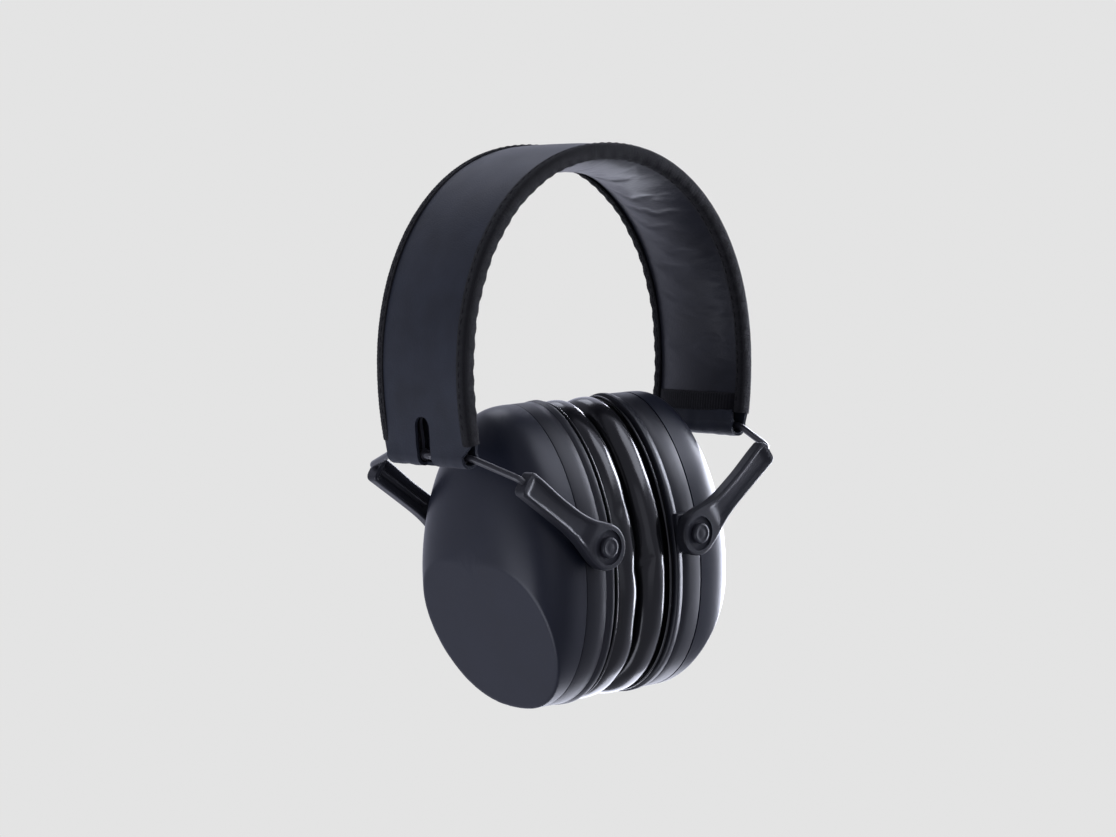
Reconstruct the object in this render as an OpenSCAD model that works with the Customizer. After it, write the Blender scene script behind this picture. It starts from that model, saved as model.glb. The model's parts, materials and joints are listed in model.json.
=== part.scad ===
// Folding earmuff hearing protector with a padded spring headband, wire yokes and two ear cups.
// X runs through the ears, the front is -Y and +Z is up.
// The origin is where the underside of the crown pad rests on the head.

/* [Headband] */
// Outside width of the arch at its widest point
arch_w = 125.6; // [100:0.1:160]
// Height of the outside of the crown above the ends of the binding
arch_h = 90; // [70:0.5:120]
// Height above the binding ends at which the arch is widest
arch_wide_z = 20; // [10:0.5:30]
// Distance each side tucks in below the widest point
arch_tuck = 1.8; // [0:0.1:4]
// Power of the arch curve, where 2 is an ellipse and more is squarer
arch_power = 2.1; // [1.9:0.05:2.4]
// Width of the band over its bindings
band_w = 42; // [34:0.5:52]
// Thickness of the padded band at the crown
crown_t = 8; // [6.6:0.1:11]
// Thickness of the padded band at its ends
end_t = 5.5; // [4.6:0.1:8]
// Thickness of the sewn edge inside the binding
edge_t = 3.4; // [3.2:0.1:4]
// Thickness of the leatherette covers
cover_t = 1; // [0.8:0.05:1.1]
// Thickness of the binding tape
binding_t = 0.6; // [0.4:0.05:0.9]
// How far the binding tape laps over each face
binding_lap = 3.5; // [2.5:0.1:5]
// Width of the spring strip
strip_w = 30; // [22:0.5:32]
// Thickness of the spring strip
strip_t = 1; // [0.8:0.05:1.2]

/* [Hem and yoke hinge] */
// Width of the hem that wraps round the yoke
hem_w = 35.5; // [30:0.5:40]
// Radius of the outside of the hem
hem_r = 3.8; // [3.6:0.05:4.4]
// Distance from the outside of the arch in to the hinge line
hinge_in = 2; // [1.7:0.05:2.4]
// Distance of the hinge line below the ends of the binding
hinge_drop = 3.9; // [3.85:0.05:4.6]
// Width of the slot in the middle of each end
slot_w = 5.8; // [5.4:0.1:7]
// Height of the slot above the ends of the binding
slot_h = 9; // [6:0.1:12]

/* [Yoke wire] */
// Diameter of the yoke wire
wire_d = 2.2; // [1.8:0.1:2.4]
// Distance from the hinge line in to the bend
wire_in = 4.4; // [3:0.1:6]
// Distance of the bend below the hinge line
wire_down = 5.7; // [4:0.1:7]
// Length of wire leg that an arm still holds at full travel
leg_hold = 14; // [10:0.5:15]
// Sideways offset of the kink in the middle of the cross-bar
kink = 1.4; // [1:0.1:1.6]

/* [Arms and pins] */
// Thickness of an arm
arm_t = 4.2; // [3.8:0.1:5]
// Half width of an arm at its top
arm_half = 4.2; // [3.6:0.1:5]
// Radius of the round eye at the foot of an arm
eye_r = 7.2; // [6:0.1:8]
// Diameter of a pivot pin
pin_d = 4; // [3:0.1:4.4]
// Diameter of a pin head
pin_head_d = 6.6; // [6:0.1:8]
// Travel of the arms along the wire
arm_travel = 11; // [6:0.5:12]

/* [Ear cups] */
// Half width of the cup at its seam
cup_a = 32.4; // [27:0.1:39]
// Height of the top of the seam above the cup's widest level
cup_up = 54.2; // [45:0.1:65]
// Depth of the bottom of the seam below the widest level
cup_down = 43; // [36:0.1:52]
// Distance of the cup's widest level below the ends of the binding
cup_drop = 45; // [35:0.5:55]
// Distance of the seam from the middle plane
seam_x = 25.3; // [23.5:0.1:31]
// Depth of the dome beyond the seam
dome_d = 19.5; // [16:0.1:24]
// Thickness of the cup wall
cup_wall = 2.2; // [1.8:0.1:2.8]
// Distance from the middle plane to the rim
rim_x = 13.8; // [12:0.1:17]
// Slope of the flat facet, as run per rise
facet_slope = 0.383; // [0.3:0.005:0.5]
// Distance of the facet from the middle plane at the widest level
facet_x = 43.5; // [42.5:0.1:44.5]
// Distance of the pins from the middle plane
pin_x = 20.2; // [19:0.1:22]
// Distance of the pins below the ends of the binding
pin_drop = 34.1; // [28:0.1:40]

/* [Ear cushions] */
// Gap from each cushion to the middle plane
cushion_gap = 0.3; // [0.2:0.05:1]
// Width of the cushion ring
cushion_w = 14.4; // [12:0.1:17]
// Thickness of the cushion cover
cushion_skin = 0.9; // [0.7:0.05:1.2]
// Thickness of the seal plate
plate_t = 1.5; // [1.2:0.1:2.2]

/* [Hidden] */
fit = 0.05;                                  // running clearance on a radius
apart = 0.3;                                 // gap between faces that pass each other
eps = 0.01;
end_z = crown_t - arch_h;                    // level of the ends of the binding
cover_half = band_w / 2 - binding_t;         // half width of both covers
pad_half = cover_half - binding_lap + binding_t;
end_x = arch_w / 2 - arch_tuck;              // outside of the arch at its ends
hinge_x = end_x - hinge_in;
hinge_z = end_z - hinge_drop;
wire_r = wire_d / 2;
eye_in_r = wire_r + fit;                     // bore of the rolled eyes
eye_out_r = eye_in_r + 0.8;                  // outside of the rolled eyes
hem_bore_r = eye_out_r + fit;
kink_r = kink + wire_r + 0.2;                // room that the kink turns in
pin_z = end_z - pin_drop;
cup_z = end_z - cup_drop;
pin_r = pin_d / 2;
boss_y = cup_a + 0.5;                        // outer face of a pin boss
boss_len = 5.4;
boss_r = 6.3;
arm_y0 = boss_y + apart;                     // inner face of an arm
arm_y1 = arm_y0 + arm_t;                     // outer face of an arm
wire_y = arm_y0 + arm_t / 2;                 // plane of the wire legs
leg_len = arm_travel + leg_hold;             // straight leg of the wire below the bend
bend_x = hinge_x - wire_in;
bend_z = hinge_z - wire_down;
leg_dx = pin_x - bend_x;
leg_dz = pin_z - bend_z;
leg_all = norm([leg_dx, leg_dz]);            // distance from the bend to the pin
leg_tilt = atan2(-leg_dz, -leg_dx);          // slope of the leg below the horizontal
arm_len = leg_all - 1.6;                     // pin centre to the top of the arm
groove_x = rim_x - plate_t;                  // back of the cushion
cup_power_up = 1.82;
cup_power_down = 2.35;
dome_power = 3.2;
cup_steps = 48;
dome_rings = 8;
rim_lip = 0.4;
facet_tilt = atan(facet_slope);

function lerp(a, b, t) = a + (b - a) * t;
function unit(v) = v / norm(v);

// ---- headband curve ----
arch_steps = 26;
side_steps = 3;
function arch_top(a) = [
    arch_w / 2 * sign(cos(a)) * pow(abs(cos(a)), 2 / arch_power),
    end_z + arch_wide_z + (arch_h - arch_wide_z) * pow(sin(a), 2 / arch_power)
];
function arch_side(k) = [arch_w / 2 - arch_tuck * k * k, end_z + arch_wide_z * (1 - k)];
ARCH = concat(
    [for (i = [side_steps : -1 : 1]) arch_side(i / side_steps)],
    [for (i = [0 : arch_steps]) arch_top(180 * i / arch_steps)],
    [for (i = [1 : side_steps]) let (p = arch_side(i / side_steps)) [-p.x, p.y]]
);
arch_last = len(ARCH) - 1;
// The ends are cut level, so their normals lie flat
function arch_normal(i) =
    i == 0 ? [-1, 0] :
    i == arch_last ? [1, 0] :
    let (t = unit(ARCH[i + 1] - ARCH[i - 1])) [-t.y, t.x];
NORMAL = [for (i = [0 : arch_last]) arch_normal(i)];
function band_depth(i) = lerp(crown_t, end_t, pow(min(1, 2 * abs(ARCH[i].x) / arch_w), 2));
// Depth of the head side of the band at y, on a band that is t thick
function pad_depth(y, t) = edge_t + (t - edge_t) * (1 - pow(min(1, abs(y) / pad_half), 2.5));

// Faces of a tube of rings, n points a ring and m rings, either capped or closed on itself
function tube_faces(n, m, closed) = concat(
    [for (i = [0 : (closed ? m : m - 1) - 1]) for (j = [0 : n - 1]) [
        i * n + j, ((i + 1) % m) * n + j, ((i + 1) % m) * n + (j + 1) % n, i * n + (j + 1) % n
    ]],
    closed ? [] : [[for (j = [0 : n - 1]) j], [for (j = [n - 1 : -1 : 0]) (m - 1) * n + j]]
);

// A section that follows the arch from its +X end; sections[i] is a ring of [y, depth] points
module along_arch(sections) {
    n = len(sections[0]);
    m = len(sections);
    points = [for (i = [0 : m - 1]) for (q = sections[i])
        [ARCH[i].x + NORMAL[i].x * q[1], q[0], ARCH[i].y + NORMAL[i].y * q[1]]];
    polyhedron(points, tube_faces(n, m, false), convexity = 6);
}

// A flat strip along the arch between two depths
module arch_layer(depth_a, depth_b, width) {
    outside = [for (i = [0 : arch_last]) ARCH[i] + NORMAL[i] * depth_a];
    inside = [for (i = [arch_last : -1 : 0]) ARCH[i] + NORMAL[i] * depth_b];
    rotate([90, 0, 0])
        translate([0, 0, -width / 2])
            linear_extrude(width) polygon(concat(outside, inside));
}

// Places across the pad at which its depth is sampled
PAD_Y = let (steps = 10) [for (k = [0 : steps]) lerp(pad_half, -pad_half, k / steps)];
function reversed(list) = [for (k = [len(list) - 1 : -1 : 0]) list[k]];

module both_sides(s) {
    if (s > 0) children();
    else mirror([1, 0, 0]) children();
}

module y_cylinder(r, y0, y1, x = 0, z = 0) {
    translate([x, y0, z]) rotate([-90, 0, 0]) cylinder(h = y1 - y0, r = r, $fn = 48);
}

// ---- headband ----
module end_slot(r_extra = 0) {
    half = slot_w / 2 + r_extra;
    translate([hinge_x - 1.5, -half, hinge_z - hem_r - 1])
        cube([8, 2 * half, slot_h + hinge_drop + hem_r + 1 - half]);
    translate([hinge_x - 1.5, 0, end_z + slot_h - half])
        rotate([0, 90, 0]) cylinder(h = 8, r = half, $fn = 32);
}

module strip_end() {
    translate([end_x - cover_t - strip_t, -strip_w / 2, hinge_z + eye_in_r + 0.3])
        cube([strip_t, strip_w, hinge_drop - eye_in_r - 0.3 + eps]);
    y_cylinder(eye_out_r, -strip_w / 2, strip_w / 2, hinge_x, hinge_z);
}

module spring_strip() {
    color("silver") difference() {
        union() {
            arch_layer(cover_t, cover_t + strip_t, strip_w);
            both_sides(1) strip_end();
            both_sides(-1) strip_end();
        }
        for (s = [1, -1]) both_sides(s) {
            y_cylinder(eye_in_r, -band_w, band_w, hinge_x, hinge_z);
            end_slot(0.4);
        }
    }
}

module band_foam() {
    slack = 0.1; // between the foam and its cover
    function section(t) = concat(
        [for (y = PAD_Y) [y, pad_depth(y, t) - cover_t - slack]],
        [[-pad_half, cover_t + strip_t], [pad_half, cover_t + strip_t]]
    );
    color("dimgray") along_arch([for (i = [0 : arch_last]) section(band_depth(i))]);
}

module outer_cover() {
    color([0.13, 0.14, 0.16]) difference() {
        arch_layer(0, cover_t, 2 * cover_half);
        for (s = [1, -1]) both_sides(s) end_slot();
    }
}

module inner_cover() {
    taper = 0.04;
    function skin(t) = concat(
        [[cover_half, edge_t - taper]], [for (y = PAD_Y) [y, pad_depth(y, t)]],
        [[-cover_half, edge_t - taper]]
    );
    function section(t) = concat(skin(t), [for (q = reversed(skin(t))) [q[0], q[1] - cover_t]]);
    color([0.1, 0.1, 0.11]) along_arch([for (i = [0 : arch_last]) section(band_depth(i))]);
}

// The binding tape is a channel round the edge of both covers
module binding(side) {
    lap_y = band_w / 2 - binding_lap;
    out_y = band_w / 2;
    channel = [
        [lap_y, -binding_t], [out_y, -binding_t], [out_y, edge_t + binding_t],
        [lap_y + 0.5, edge_t + binding_t], [lap_y + 0.5, edge_t],
        [cover_half, edge_t], [cover_half, 0], [lap_y, 0]
    ];
    turned = [for (q = reversed(channel)) [-q[0], q[1]]];
    color([0.07, 0.07, 0.08]) along_arch([for (i = [0 : arch_last]) side > 0 ? channel : turned]);
}
module front_binding() { binding(-1); }
module rear_binding() { binding(1); }

// The hem is wrapped round the rolled eyes, with a slot for the kink in the wire
module hem(s) {
    color([0.12, 0.13, 0.15]) both_sides(s) difference() {
        y_cylinder(hem_r, -hem_w / 2, hem_w / 2, hinge_x, hinge_z);
        y_cylinder(hem_bore_r, -hem_w, hem_w, hinge_x, hinge_z);
        y_cylinder(kink_r, -slot_w / 2, slot_w / 2, hinge_x, hinge_z);
        translate([end_x - cover_t - strip_t - eps, -strip_w / 2 - eps, hinge_z])
            cube([strip_t + 2 * eps, strip_w + 2 * eps, hinge_drop]);
        translate([hinge_x, -slot_w / 2, hinge_z - hem_r - 1])
            cube([2 * hem_r, slot_w, 3 * hem_r]);
        translate([hinge_x - hem_r, -hem_w, end_z])
            cube([2 * hem_r, 2 * hem_w, hem_r]);
    }
}
module left_hem() { hem(-1); }
module right_hem() { hem(1); }

// Woven tape sewn across the head side of each end, tilted as the band is there
module hem_tape(s) {
    tape_t = 0.8;
    tape_h = 6.5;
    rise = ARCH[1] - ARCH[0];
    tilt = atan2(rise.x, rise.y);
    skin = [for (y = PAD_Y) [-pad_depth(y, end_t), y]];
    color([0.06, 0.06, 0.07]) both_sides(s)
        translate([end_x - apart / 5, 0, end_z + 0.3]) rotate([0, tilt, 0])
            linear_extrude(tape_h)
                polygon(concat(skin, [for (q = reversed(skin)) [q[0] - tape_t, q[1]]]));
}
module left_hem_tape() { hem_tape(-1); }
module right_hem_tape() { hem_tape(1); }

// ---- yoke ----
// How far a straight stretch stops short of a corner, where a ball joins it to the next
function corner_gap(path, i, r) = i == 0 || i == len(path) - 1 ? 0 :
    let (
        a = unit(path[i] - path[i - 1]),
        b = unit(path[i + 1] - path[i])
    ) r * tan(acos(a * b) / 2) + 0.02;
module rod(path, r) {
    for (i = [0 : len(path) - 2]) {
        way = unit(path[i + 1] - path[i]);
        from = path[i] + way * corner_gap(path, i, r);
        run = norm(path[i + 1] - way * corner_gap(path, i + 1, r) - from);
        translate(from)
            rotate([0, acos(way.z), atan2(way.y, way.x)])
                cylinder(h = run, r = r, $fn = 96);
    }
    for (i = [1 : len(path) - 2])
        translate(path[i])
            sphere(r = norm([r, corner_gap(path, i, r)]) + 0.1, $fn = 96);
}

LEG = unit([leg_dx, 0, leg_dz]);
module yoke_wire(s) {
    exit_y = hem_w / 2 + 0.6;
    bend = [bend_x, wire_y, bend_z];
    half = [bend + LEG * leg_len, bend, [hinge_x, exit_y, hinge_z]];
    other = [for (p = reversed(half)) [p.x, -p.y, p.z]];
    kink_half = slot_w / 2 - 0.6;
    color([0.3, 0.3, 0.32]) both_sides(s) {
        rod(concat(half, other), wire_r);
        y_cylinder(wire_r, -kink_half, kink_half, hinge_x + kink, hinge_z);
    }
}
module left_yoke_wire() { yoke_wire(-1); }
module right_yoke_wire() { yoke_wire(1); }

// ---- arms ----
// Seen from the front with the pin at the origin and the arm running along +X
ARM_OUTLINE = [
    [0, -eye_r], [12, -arm_half - 0.4], [arm_len, -arm_half],
    [arm_len, arm_half], [20, arm_half - 0.6], [12.5, arm_half + 0.2],
    [7.5, arm_half + 1.5], [0, eye_r]
];
module arm(s, side) {
    color([0.16, 0.17, 0.19]) both_sides(s) scale_y(side) difference() {
        translate([pin_x, arm_y1, pin_z]) rotate([90, -leg_tilt, 0]) {
            linear_extrude(arm_t) polygon(ARM_OUTLINE);
            cylinder(h = arm_t, r = eye_r, $fn = 64);
        }
        y_cylinder(pin_r + fit, arm_y0 - 1, arm_y1 + 1, pin_x, pin_z);
        translate([pin_x, arm_y1 - 0.8, pin_z])
            rotate([-90, 0, 0]) cylinder(h = 2, r = eye_r - 1.4, $fn = 64);
        translate([bend_x, wire_y, bend_z])
            rotate([0, -(90 + leg_tilt), 0])
                translate([0, 0, -5]) cylinder(h = leg_len + 5.5, r = wire_r + fit, $fn = 32);
    }
}
module scale_y(side) {
    if (side > 0) children();
    else mirror([0, 1, 0]) children();
}
module left_front_arm() { arm(-1, -1); }
module left_rear_arm() { arm(-1, 1); }
module right_front_arm() { arm(1, -1); }
module right_rear_arm() { arm(1, 1); }

// ---- pins ----
module pin(s, side) {
    head_y = arm_y1 - 0.8 + 0.1;
    foot_y = boss_y - boss_len;
    color([0.18, 0.19, 0.21]) both_sides(s) scale_y(side) {
        y_cylinder(pin_r, foot_y - 1.3, head_y + eps, pin_x, pin_z);
        y_cylinder(pin_head_d / 2, head_y, head_y + 1.6, pin_x, pin_z);
        y_cylinder(pin_r + 0.8, foot_y - 1.3, foot_y - 0.1, pin_x, pin_z);
    }
}
module left_front_pin() { pin(-1, -1); }
module left_rear_pin() { pin(-1, 1); }
module right_front_pin() { pin(1, -1); }
module right_rear_pin() { pin(1, 1); }

// ---- ear cups ----
// Egg outline in [y, z], drawn in by a share of its size
function egg(a, share = 1) = let (
    up = sin(a) > 0,
    b = up ? cup_up : cup_down,
    e = up ? cup_power_up : cup_power_down,
    r = pow(pow(abs(cos(a)) / cup_a, e) + pow(abs(sin(a)) / b, e), -1 / e)
) [share * r * cos(a), share * r * sin(a)];
EGG = [for (k = [0 : cup_steps - 1]) egg(360 * k / cup_steps)];
function egg_normal(k) = let (
    n = cup_steps,
    t = unit(EGG[(k + 1) % n] - EGG[(k + n - 1) % n])
) [t.y, -t.x];
EGG_NORMAL = [for (k = [0 : cup_steps - 1]) egg_normal(k)];
function egg_in(d) = [for (k = [0 : cup_steps - 1]) EGG[k] - EGG_NORMAL[k] * d];

module egg_slab(x0, x1, inset) {
    translate([x0, 0, cup_z])
        rotate([90, 0, 90]) linear_extrude(x1 - x0) polygon(egg_in(inset));
}

// Solid dome on the egg outline, drawn in by a wall thickness and cut by the facet
module dome_solid(inset) {
    depth = dome_d - inset;
    base = egg_in(inset);
    n = cup_steps;
    start = inset > 0 ? -0.5 : 0;
    rings = [for (i = [0 : dome_rings - 1]) let (t = sin(90 * i / dome_rings)) [
        depth * t, pow(1 - pow(t, dome_power), 1 / dome_power)
    ]];
    levels = start < 0 ? concat([[start, 1]], rings) : rings;
    points = concat(
        [for (q = levels) for (p = base) [seam_x + q[0], p.x * q[1], cup_z + p.y * q[1]]],
        [[seam_x + depth, 0, cup_z]]
    );
    m = len(levels);
    faces = concat(
        [[for (j = [0 : n - 1]) j]],
        [for (i = [0 : m - 2]) for (j = [0 : n - 1])
            [i * n + j, (i + 1) * n + j, (i + 1) * n + (j + 1) % n, i * n + (j + 1) % n]],
        [for (j = [0 : n - 1]) [(m - 1) * n + j, m * n, (m - 1) * n + (j + 1) % n]]
    );
    difference() {
        polyhedron(points, faces);
        translate([facet_x - inset / cos(facet_tilt), 0, cup_z])
            rotate([0, facet_tilt, 0])
                translate([0, -60, -100]) cube([60, 120, 200]);
    }
}

module cup_shell(s) {
    color([0.12, 0.13, 0.16]) both_sides(s) difference() {
        dome_solid(0);
        dome_solid(cup_wall);
    }
}
module left_cup_shell() { cup_shell(-1); }
module right_cup_shell() { cup_shell(1); }

module boss(side) {
    scale_y(side) {
        y_cylinder(boss_r, boss_y - boss_len, boss_y, pin_x, pin_z);
        translate([rim_x + 0.6, boss_y - boss_len, pin_z - boss_r])
            cube([pin_x - rim_x - 0.6, boss_len, 2 * boss_r]);
    }
}

module cup_rim(s) {
    lip_w = 2;
    color([0.14, 0.15, 0.17]) both_sides(s) difference() {
        union() {
            difference() {
                union() {
                    egg_slab(rim_x, seam_x, 0);
                    egg_slab(rim_x, rim_x + lip_w, -rim_lip);
                }
                egg_slab(rim_x - 1, seam_x + 1, cup_wall);
            }
            intersection() {
                union() {
                    boss(1);
                    boss(-1);
                }
                translate([rim_x, -100, -300]) cube([seam_x - rim_x, 200, 400]);
            }
        }
        y_cylinder(pin_r + fit, -boss_y - 1, boss_y + 1, pin_x, pin_z);
    }
}
module left_cup_rim() { cup_rim(-1); }
module right_cup_rim() { cup_rim(1); }

// Plate that carries the cushion; its edge is the dark groove beside the rim
module seal_plate(s) {
    color([0.05, 0.05, 0.05]) both_sides(s) difference() {
        egg_slab(groove_x, rim_x, 1.4);
        egg_slab(groove_x - 1, rim_x + 1, cushion_w + 0.6);
    }
}
module left_seal_plate() { seal_plate(-1); }
module right_seal_plate() { seal_plate(1); }

// Half of a rounded section as [inset from the egg outline, x], from one back edge round the front
function cushion_path(inset) = let (steps = 10, power = 3, mid_d = cushion_w / 2 - 0.4)
    [for (k = [0 : steps]) let (
        a = 180 * k / steps,
        r = pow(pow(abs(cos(a)), power) + pow(abs(sin(a)), power), -1 / power)
    ) [
        mid_d - (cushion_w / 2 - inset) * r * cos(a),
        groove_x - (groove_x - cushion_gap - inset) * r * sin(a)
    ]];

// Closed ring of a section that follows the egg outline
module cushion_ring(section) {
    points = [for (k = [0 : cup_steps - 1]) for (q = section)
        let (p = EGG[k] - EGG_NORMAL[k] * q[0]) [q[1], p.x, cup_z + p.y]];
    polyhedron(points, tube_faces(len(section), cup_steps, true), convexity = 6);
}

module cushion_cover(s) {
    color([0.04, 0.04, 0.05]) both_sides(s)
        cushion_ring(concat(cushion_path(0), reversed(cushion_path(cushion_skin))));
}
module left_cushion_cover() { cushion_cover(-1); }
module right_cushion_cover() { cushion_cover(1); }

module cushion_foam(s) {
    color("gray") both_sides(s) cushion_ring(cushion_path(cushion_skin));
}
module left_cushion_foam() { cushion_foam(-1); }
module right_cushion_foam() { cushion_foam(1); }

// Open-cell foam that lines the inside of a cup
module sound_foam(s) {
    foam_x0 = rim_x + 5;
    foam_x1 = seam_x - 1;
    color("slategray") both_sides(s) difference() {
        egg_slab(foam_x0, foam_x1, cup_wall + 0.6);
        y_cylinder(boss_r + 0.6, boss_y - boss_len - 2, boss_y, pin_x, pin_z);
        y_cylinder(boss_r + 0.6, -boss_y, -boss_y + boss_len + 2, pin_x, pin_z);
        for (side = [1, -1]) scale_y(side)
            translate([foam_x0 - 1, boss_y - boss_len - 2, pin_z - boss_r - 0.6])
                cube([pin_x - foam_x0 + 1, boss_len + 2, 2 * boss_r + 1.2]);
    }
}
module left_sound_foam() { sound_foam(-1); }
module right_sound_foam() { sound_foam(1); }

spring_strip();
band_foam();
outer_cover();
inner_cover();
front_binding();
rear_binding();
left_hem();
right_hem();
left_hem_tape();
right_hem_tape();
left_yoke_wire();
right_yoke_wire();
left_front_arm();
left_rear_arm();
right_front_arm();
right_rear_arm();
left_front_pin();
left_rear_pin();
right_front_pin();
right_rear_pin();
left_cup_shell();
right_cup_shell();
left_cup_rim();
right_cup_rim();
left_seal_plate();
right_seal_plate();
left_cushion_cover();
right_cushion_cover();
left_cushion_foam();
right_cushion_foam();
left_sound_foam();
right_sound_foam();
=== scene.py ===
"""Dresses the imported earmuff: sewn headband, wire yokes, arms, pins, ear cups and their cushions.

Sizes are in millimetres in the dataclass fields and turned to metres when a mesh is laid out.
X runs through the ears, the front is -Y and +Z is up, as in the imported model.
"""

import json
import logging
import math
from dataclasses import dataclass, field
from enum import Enum
from typing import Callable, Sequence

import bpy
import numpy as np
from mathutils import Matrix, Vector

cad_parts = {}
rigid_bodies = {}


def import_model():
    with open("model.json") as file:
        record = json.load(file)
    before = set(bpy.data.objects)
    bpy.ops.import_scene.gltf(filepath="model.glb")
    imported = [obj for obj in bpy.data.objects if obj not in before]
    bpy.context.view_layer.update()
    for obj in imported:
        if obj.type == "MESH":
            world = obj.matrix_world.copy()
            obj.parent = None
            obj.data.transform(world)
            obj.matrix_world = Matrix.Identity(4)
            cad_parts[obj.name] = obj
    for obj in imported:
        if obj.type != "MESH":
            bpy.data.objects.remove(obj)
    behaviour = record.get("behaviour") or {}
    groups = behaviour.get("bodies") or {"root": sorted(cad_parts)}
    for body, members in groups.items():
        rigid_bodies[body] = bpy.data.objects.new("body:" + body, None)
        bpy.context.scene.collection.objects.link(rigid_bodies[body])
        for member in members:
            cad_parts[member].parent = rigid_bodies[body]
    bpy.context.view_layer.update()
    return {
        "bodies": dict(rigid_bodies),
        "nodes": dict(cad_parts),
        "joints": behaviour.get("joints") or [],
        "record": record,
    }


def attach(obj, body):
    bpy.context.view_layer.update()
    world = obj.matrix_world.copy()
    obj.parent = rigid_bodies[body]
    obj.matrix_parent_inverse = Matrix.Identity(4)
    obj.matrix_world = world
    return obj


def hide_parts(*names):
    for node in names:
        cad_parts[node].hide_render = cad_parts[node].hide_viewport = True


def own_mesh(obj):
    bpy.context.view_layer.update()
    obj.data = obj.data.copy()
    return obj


MM = 0.001
LOG = logging.getLogger("earmuff")
Place = Callable[[np.ndarray, np.ndarray], np.ndarray]


class Side(Enum):
    """Which ear a piece belongs to; the value is the sign of its X."""

    LEFT = -1
    RIGHT = 1

    @property
    def word(self) -> str:
        """The side's name as the CAD nodes use it."""
        return self.name.lower()


class Grain(Enum):
    """The kinds of surface that the finishes are made from."""

    PEBBLE = "pebble"
    FILM = "film"
    SATIN = "satin"
    RIB = "rib"
    FOAM = "foam"
    METAL = "metal"


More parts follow.
